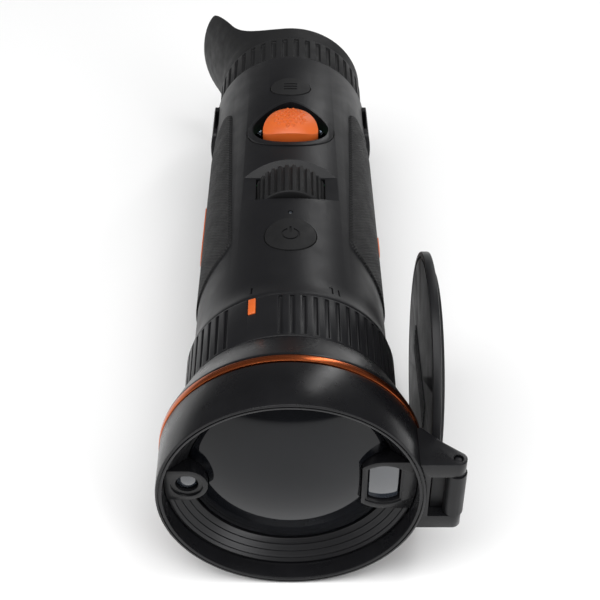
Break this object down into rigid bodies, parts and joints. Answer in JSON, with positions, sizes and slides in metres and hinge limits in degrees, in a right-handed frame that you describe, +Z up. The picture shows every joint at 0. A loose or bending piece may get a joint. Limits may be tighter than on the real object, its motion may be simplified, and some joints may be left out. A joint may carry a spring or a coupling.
{
  "type": "thermal imaging monocular",
  "caption": "Handheld thermal imaging monocular with hooded objective, rangefinder windows, fold-back lens cap, zoom ring, focus wheel, thumb joystick and winged eyecup.",
  "frame": {"origin": "centre of the tripod foot's flat face, on the vertical plane through the optical axis", "axes": "+Y along the optical axis from the objective to the eyecup, +Z up from the foot to the keys, +X towards the lens cap's hinge"},
  "size_m": [0.0874, 0.245, 0.0764],
  "materials": {
    "shell": "soft-touch black plastic, satin",
    "rubber": "fine textured black rubber",
    "orange": "satin orange plastic",
    "trim": "copper-orange anodised, turned",
    "germanium": "polished, dark coated",
    "glass": "clear, polished",
    "steel": "ground",
    "brass": "turned",
    "aluminium": "black anodised",
    "board": "solder mask",
    "cell": "shrink sleeve"
  },
  "bodies": {
    "camera_body": {"front_hood": "shell", "trim_ring": "trim", "emitter_tube": "shell", "emitter_lens": "glass", "receiver_tube": "shell", "receiver_lens": "glass", "baffle_ring": "aluminium", "objective_lens": "germanium", "objective_barrel": "aluminium", "hinge_bracket": "shell", "hinge_pin": "steel", "upper_housing": "shell", "lower_housing": "shell", "grip_panel_left": "rubber", "grip_panel_right": "rubber", "side_accent_left": "orange", "side_accent_right": "orange", "strap_lug_left": "shell", "strap_lug_right": "shell", "key_board": "board", "status_light": "glass", "joystick_bezel": "shell", "control_board": "board", "wheel_yoke": "aluminium", "guide_rod": "steel", "lens_bulkhead": "aluminium", "detector_module": "aluminium", "main_board": "board", "battery": "cell", "display_module": "glass", "eyepiece_barrel": "aluminium", "tripod_foot": "shell", "tripod_bush": "brass", "case_screw_front": "steel", "case_screw_rear": "steel", "usb_socket": "steel"},
    "lens_cap": {"lens_cap": "shell", "cap_seal": "rubber"},
    "fov_ring": {"fov_ring": "shell", "fov_index": "orange"},
    "fov_cell": {"fov_lens_cell": "aluminium", "fov_lens": "germanium"},
    "focus_wheel": {"focus_wheel": "rubber", "focus_screw": "steel"},
    "focus_cell": {"focus_lens_cell": "aluminium", "focus_lens": "germanium"},
    "shutter": {"shutter_flag": "steel"},
    "power_button": {"power_button": "rubber"},
    "menu_button": {"menu_button": "rubber"},
    "joystick_gimbal": {"joystick_gimbal": "aluminium"},
    "joystick_stem": {"joystick_stem": "steel"},
    "joystick_cap": {"joystick_cap": "orange"},
    "dioptre_ring": {"dioptre_ring": "rubber"},
    "eyepiece_cell": {"eyepiece_cell": "aluminium", "eyepiece_lens": "glass"},
    "eyecup": {"eyecup": "rubber"},
    "usb_cover": {"usb_cover": "rubber"}
  },
  "joints": [
    {"name": "lens_cap_hinge", "type": "hinge", "parent": "camera_body", "child": "lens_cap", "pos_m": [0.0463, -0.11475, 0.0382], "axis": [0, 0, 1], "range_deg": [-270, 0]},
    {"name": "fov_ring_turn", "type": "hinge", "parent": "camera_body", "child": "fov_ring", "pos_m": [0, -0.076, 0.0382], "axis": [0, 1, 0], "range_deg": [0, 48.5]},
    {"name": "fov_cell_slide", "type": "slide", "parent": "camera_body", "child": "fov_cell", "axis": [0, 1, 0], "range_m": [0, 0.0083]},
    {"name": "focus_wheel_turn", "type": "hinge", "parent": "camera_body", "child": "focus_wheel", "pos_m": [0, -0.008, 0.05763], "axis": [0, 1, 0], "range_deg": [-180, 180]},
    {"name": "focus_cell_slide", "type": "slide", "parent": "camera_body", "child": "focus_cell", "axis": [0, 1, 0], "range_m": [-0.0031, 0.0031]},
    {"name": "shutter_swing", "type": "hinge", "parent": "camera_body", "child": "shutter", "pos_m": [0.016, -0.04235, 0.0262], "axis": [0, 1, 0], "range_deg": [-50, 0], "stiffness_Nm_per_rad": 0.002, "springref_deg": 11.46},
    {"name": "power_button_press", "type": "slide", "parent": "camera_body", "child": "power_button", "axis": [0, 0, -1], "range_m": [0, 0.0007], "stiffness_N_per_m": 1500, "springref_m": -0.0003},
    {"name": "menu_button_press", "type": "slide", "parent": "camera_body", "child": "menu_button", "axis": [0, 0, -1], "range_m": [0, 0.0007], "stiffness_N_per_m": 1500, "springref_m": -0.0003},
    {"name": "joystick_side_tilt", "type": "hinge", "parent": "camera_body", "child": "joystick_gimbal", "pos_m": [0, 0.02595, 0.05726], "axis": [0, 1, 0], "range_deg": [-8, 8], "stiffness_Nm_per_rad": 0.15},
    {"name": "joystick_fore_tilt", "type": "hinge", "parent": "joystick_gimbal", "child": "joystick_stem", "pos_m": [0, 0.02595, 0.05726], "axis": [1, 0, 0], "range_deg": [-4, 4], "stiffness_Nm_per_rad": 0.15},
    {"name": "joystick_press", "type": "slide", "parent": "joystick_stem", "child": "joystick_cap", "axis": [0, 0, -1], "range_m": [0, 0.0005], "stiffness_N_per_m": 2000, "springref_m": -0.0003},
    {"name": "dioptre_turn", "type": "hinge", "parent": "camera_body", "child": "dioptre_ring", "pos_m": [0, 0.082, 0.0382], "axis": [0, 1, 0], "range_deg": [-60, 60]},
    {"name": "eyepiece_cell_slide", "type": "slide", "parent": "camera_body", "child": "eyepiece_cell", "axis": [0, 1, 0], "range_m": [-0.0021, 0.0021]},
    {"name": "eyecup_turn", "type": "hinge", "parent": "camera_body", "child": "eyecup", "pos_m": [0, 0.1, 0.0382], "axis": [0, 1, 0], "continuous": true},
    {"name": "usb_cover_hinge", "type": "hinge", "parent": "camera_body", "child": "usb_cover", "pos_m": [0, 0.04405, 0.01075], "axis": [1, 0, 0], "range_deg": [-100, 0]}
  ],
  "couplings": [
    {"joint": "fov_cell_slide", "follows": "fov_ring_turn", "m_per_rad": 0.00945},
    {"joint": "focus_cell_slide", "follows": "focus_wheel_turn", "m_per_rad": 0.00095},
    {"joint": "eyepiece_cell_slide", "follows": "dioptre_turn", "m_per_rad": 0.0019}
  ]
}
